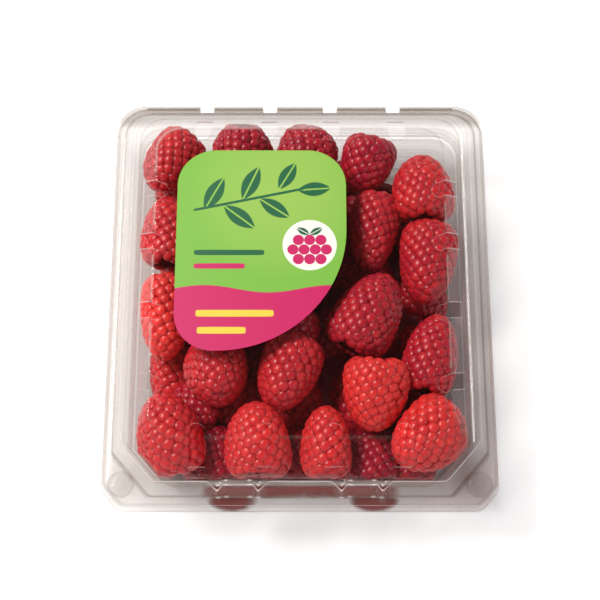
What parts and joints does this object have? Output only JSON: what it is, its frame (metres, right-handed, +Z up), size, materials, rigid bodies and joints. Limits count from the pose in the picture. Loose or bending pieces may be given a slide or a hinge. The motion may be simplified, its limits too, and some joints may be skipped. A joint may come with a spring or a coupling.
{
  "type": "punnet of raspberries",
  "caption": "Clear hinged punnet with a vented, labelled lid, filled with fresh raspberries.",
  "frame": {"origin": "centre of the pack's box, on the surface that it stands on", "axes": "+X to the right, +Y towards the hinge at the back, +Z up through the lid"},
  "size_m": [0.123, 0.136, 0.0445],
  "materials": {
    "tray_plastic": "clear thermoformed PET sheet, gloss",
    "lid_plastic": "clear thermoformed PET sheet, gloss",
    "label_print": "satin printed film label in green and magenta",
    "raspberry": "juicy fruit skin with a soft sheen"
  },
  "bodies": {
    "tray": {"tray": "tray_plastic", "raspberries": "raspberry"},
    "lid": {"lid": "lid_plastic", "label": "label_print"}
  },
  "joints": [
    {"name": "lid_hinge", "type": "hinge", "parent": "tray", "child": "lid", "pos_m": [0, 0.06815, 0.02705], "axis": [-1, 0, 0], "range_deg": [0, 180]}
  ]
}
